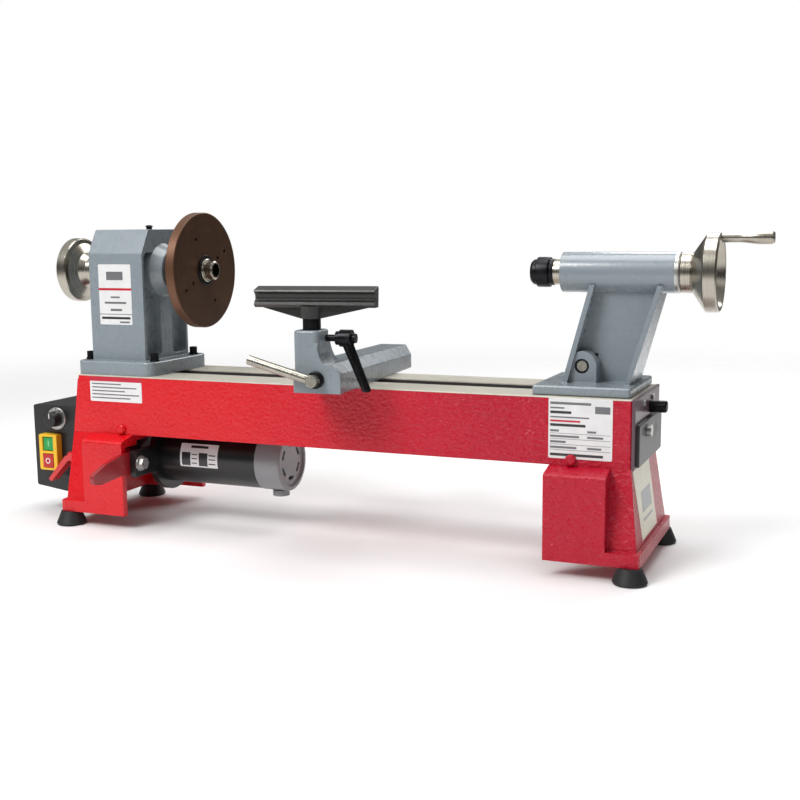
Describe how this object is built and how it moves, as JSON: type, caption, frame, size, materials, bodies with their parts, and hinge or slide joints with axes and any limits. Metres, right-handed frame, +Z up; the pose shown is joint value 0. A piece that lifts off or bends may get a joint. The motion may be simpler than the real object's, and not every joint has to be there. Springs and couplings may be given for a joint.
{
  "type": "wood lathe",
  "caption": "Bench-top wood lathe with cast bed on two legs, headstock with faceplate, sliding tool rest, tailstock with hand-fed quill, motor and speed control box.",
  "frame": {"origin": "on the floor under the middle of the machine's bounding box", "axes": "+X runs along the spindle from headstock to tailstock, +Y to the back, +Z up"},
  "size_m": [0.97, 0.3302, 0.408],
  "materials": {
    "red_hammered_paint": "glossy red hammered enamel",
    "machined_iron": "bare machined top, lightly oiled",
    "blue_grey_paint": "glossy blue-grey enamel",
    "black_rubber": "matt black rubber",
    "zinc_steel": "zinc plated steel",
    "black_steel": "black oxide steel",
    "polished_steel": "turned and polished steel",
    "dark_bronze": "dark bronze-brown turned iron",
    "black_cast": "black painted casting",
    "motor_black": "satin black enamel",
    "light_grey_cap": "light grey die-cast aluminium",
    "dark_red_paint": "dark red satin enamel",
    "box_black": "satin black powder coat",
    "mauve_plate": "dark mauve metallic paint",
    "black_plastic": "matt black plastic",
    "yellow_plastic": "yellow moulded plastic",
    "green_plastic": "green moulded plastic",
    "red_plastic": "red moulded plastic",
    "belt_rubber": "ribbed rubber belt",
    "board_green": "green circuit board"
  },
  "bodies": {
    "frame": {"bed": "red_hammered_paint", "left_leg": "red_hammered_paint", "right_leg": "red_hammered_paint", "rubber_feet": "black_rubber", "foot_studs": "zinc_steel", "leg_bolts": "dark_red_paint", "end_plate": "mauve_plate", "end_cover": "box_black", "cover_screws": "zinc_steel", "end_stop": "black_steel", "headstock": "blue_grey_paint", "belt_cover": "blue_grey_paint", "headstock_screws": "black_steel", "front_bearing": "polished_steel", "rear_bearing": "polished_steel", "drive_belt": "belt_rubber", "pivot_bolt": "zinc_steel", "control_box": "box_black", "control_box_back": "box_black", "dial_ring": "zinc_steel", "switch_housing": "yellow_plastic", "circuit_board": "board_green", "cord_gland": "black_plastic"},
    "spindle_set": {"spindle": "polished_steel", "faceplate": "dark_bronze", "outboard_handwheel": "polished_steel", "spindle_pulley": "light_grey_cap"},
    "motor_set": {"motor_housing": "motor_black", "motor_end_cap": "light_grey_cap", "motor_brush_caps": "light_grey_cap", "motor_mount": "motor_black", "tension_lever": "dark_red_paint"},
    "rotor_set": {"motor_rotor": "polished_steel", "motor_pulley": "light_grey_cap"},
    "lock_lever": {"belt_lock_lever": "dark_red_paint"},
    "spindle_lock": {"lock_pin": "black_steel"},
    "speed_dial": {"speed_knob": "black_plastic"},
    "start_switch": {"start_button": "green_plastic"},
    "stop_switch": {"stop_button": "red_plastic"},
    "rest_clamp": {"banjo_clamp_plate": "zinc_steel"},
    "rest_eye": {"banjo_eye_bolt": "zinc_steel"},
    "rest_arm": {"banjo": "blue_grey_paint", "cam_collar": "black_steel"},
    "rest_cam": {"cam_rod": "polished_steel", "cam_handle": "polished_steel"},
    "post_clamp": {"post_lever": "black_steel"},
    "rest_post": {"tool_rest_post": "black_steel"},
    "rest_bar": {"tool_rest_bar": "black_cast"},
    "tail_casting": {"tailstock": "blue_grey_paint", "barrel_ring": "zinc_steel", "tailstock_clamp_bolt": "zinc_steel", "tailstock_clamp_plate": "zinc_steel"},
    "tail_clamp": {"tailstock_clamp_lever": "polished_steel"},
    "quill_set": {"quill": "polished_steel", "quill_cap": "black_steel"},
    "feed_wheel": {"feed_screw": "polished_steel", "tailstock_handwheel": "polished_steel"},
    "crank": {"crank_handle": "polished_steel"},
    "quill_lock": {"quill_lock_lever": "polished_steel"}
  },
  "joints": [
    {"name": "spindle_turn", "type": "hinge", "parent": "frame", "child": "spindle_set", "pos_m": [0, 0, 0.333], "axis": [1, 0, 0], "continuous": true},
    {"name": "motor_swing", "type": "hinge", "parent": "frame", "child": "motor_set", "pos_m": [-0.281, -0.08, 0.086], "axis": [1, 0, 0], "range_deg": [0, 6]},
    {"name": "rotor_turn", "type": "hinge", "parent": "motor_set", "child": "rotor_set", "pos_m": [-0.287, 0, 0.086], "axis": [1, 0, 0], "continuous": true},
    {"name": "lock_lever_turn", "type": "hinge", "parent": "frame", "child": "lock_lever", "pos_m": [-0.399, -0.062, 0.084], "axis": [1, 0, 0], "range_deg": [-40, 5]},
    {"name": "lock_pin_slide", "type": "slide", "parent": "frame", "child": "spindle_lock", "axis": [0, 0, 1], "range_m": [-0.003, 0], "stiffness_N_per_m": 120},
    {"name": "speed_turn", "type": "hinge", "parent": "frame", "child": "speed_dial", "pos_m": [-0.447, -0.047, 0.131], "axis": [0, -1, 0], "range_deg": [-270, 0]},
    {"name": "start_press", "type": "slide", "parent": "frame", "child": "start_switch", "axis": [0, 1, 0], "range_m": [0, 0.0025], "stiffness_N_per_m": 600},
    {"name": "stop_press", "type": "slide", "parent": "frame", "child": "stop_switch", "axis": [0, 1, 0], "range_m": [0, 0.0025], "stiffness_N_per_m": 600},
    {"name": "rest_along_bed", "type": "slide", "parent": "frame", "child": "rest_clamp", "axis": [1, 0, 0], "range_m": [-0.09, 0.05]},
    {"name": "rest_swivel", "type": "hinge", "parent": "rest_clamp", "child": "rest_eye", "pos_m": [-0.0117, 0, 0.18], "axis": [0, 0, 1], "range_deg": [-12, 12]},
    {"name": "rest_across_bed", "type": "slide", "parent": "rest_eye", "child": "rest_arm", "axis": [-0.0872, 0.9962, 0], "range_m": [-0.035, 0.025]},
    {"name": "rest_cam_turn", "type": "hinge", "parent": "rest_arm", "child": "rest_cam", "pos_m": [-0.0117, 0, 0.214], "axis": [-0.0872, 0.9962, 0], "range_deg": [-20, 30]},
    {"name": "post_clamp_turn", "type": "hinge", "parent": "rest_arm", "child": "post_clamp", "pos_m": [-0.00194, -0.11157, 0.26], "axis": [0.9962, 0.0872, 0], "range_deg": [-50, 50]},
    {"name": "post_height", "type": "slide", "parent": "rest_arm", "child": "rest_post", "axis": [0, 0, 1], "range_m": [-0.01, 0.025]},
    {"name": "rest_bar_turn", "type": "hinge", "parent": "rest_post", "child": "rest_bar", "pos_m": [-0.01245, -0.12052, 0.28], "axis": [0, 0, 1], "range_deg": [-15, 15]},
    {"name": "tailstock_along_bed", "type": "slide", "parent": "frame", "child": "tail_casting", "axis": [1, 0, 0], "range_m": [-0.1, 0]},
    {"name": "tail_clamp_turn", "type": "hinge", "parent": "tail_casting", "child": "tail_clamp", "pos_m": [0.282, 0, 0.228], "axis": [0, 1, 0], "range_deg": [0, 60]},
    {"name": "feed_wheel_turn", "type": "hinge", "parent": "tail_casting", "child": "feed_wheel", "pos_m": [0.393, 0, 0.333], "axis": [-1, 0, 0], "range_deg": [0, 4320]},
    {"name": "quill_slide", "type": "slide", "parent": "tail_casting", "child": "quill_set", "axis": [-1, 0, 0], "range_m": [0, 0.06]},
    {"name": "crank_turn", "type": "hinge", "parent": "feed_wheel", "child": "crank", "pos_m": [0.443, 0, 0.371], "axis": [1, 0, 0], "continuous": true},
    {"name": "quill_lock_turn", "type": "hinge", "parent": "tail_casting", "child": "quill_lock", "pos_m": [0.283, 0.03, 0.333], "axis": [0, 1, 0], "range_deg": [-45, 45]}
  ],
  "couplings": [
    {"joint": "rotor_turn", "follows": "spindle_turn", "ratio": 1.6},
    {"joint": "quill_slide", "follows": "feed_wheel_turn", "m_per_rad": 0.00079577}
  ]
}
